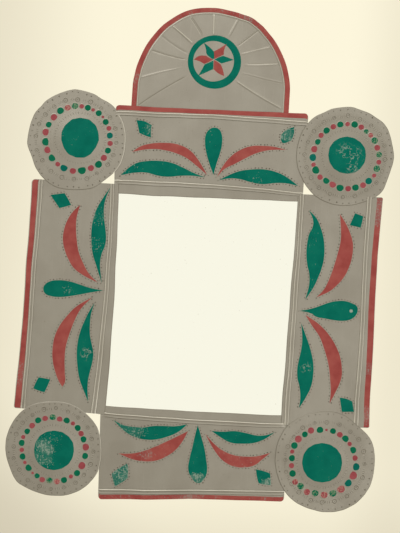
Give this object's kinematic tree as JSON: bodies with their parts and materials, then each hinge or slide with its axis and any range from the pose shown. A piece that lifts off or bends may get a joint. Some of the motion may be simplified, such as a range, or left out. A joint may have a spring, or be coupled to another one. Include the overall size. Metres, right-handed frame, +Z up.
{
  "type": "tin-framed wall mirror",
  "caption": "Wall mirror in a hand-made tinplate frame with painted side panels, round corner discs and an arched crest; hangs by a wire ring.",
  "frame": {"origin": "centre of the back plate's rear face, which lies against the wall, level with the middle of the sight opening", "axes": "+Y into the wall, so the mirror looks along -Y; +Z up to the crest; +X to the right as seen from the front"},
  "size_m": [0.4077, 0.0079, 0.548],
  "materials": {
    "tinplate": "aged tinplate, dull silver with grey-brown bloom, painted ornament in green and red enamel on the front",
    "mirror": "silvered glass pane",
    "card": "plain brown card",
    "wire": "dull drawn wire",
    "solder": "soft solder, grey and slightly bright"
  },
  "bodies": {
    "frame": {"left_panel": "tinplate", "right_panel": "tinplate", "top_panel": "tinplate", "bottom_panel": "tinplate", "top_left_disc": "tinplate", "top_right_disc": "tinplate", "bottom_left_disc": "tinplate", "bottom_right_disc": "tinplate", "crest": "tinplate", "mirror_glass": "mirror", "packing_card": "card", "back_plate": "tinplate", "left_channel": "tinplate", "right_channel": "tinplate", "bottom_channel": "tinplate", "left_retaining_tab": "tinplate", "right_retaining_tab": "tinplate", "left_crest_brace": "tinplate", "right_crest_brace": "tinplate", "hanger_strap": "tinplate", "disc_solder": "solder", "lap_solder": "solder", "channel_solder": "solder", "crest_solder": "solder", "hanger_solder": "solder"},
    "hanger": {"hanger_ring": "wire"}
  },
  "joints": [
    {"name": "ring_hinge", "type": "hinge", "parent": "frame", "child": "hanger", "pos_m": [0, -0.00192, 0.216], "axis": [1, 0, 0], "range_deg": [0, 178]}
  ]
}
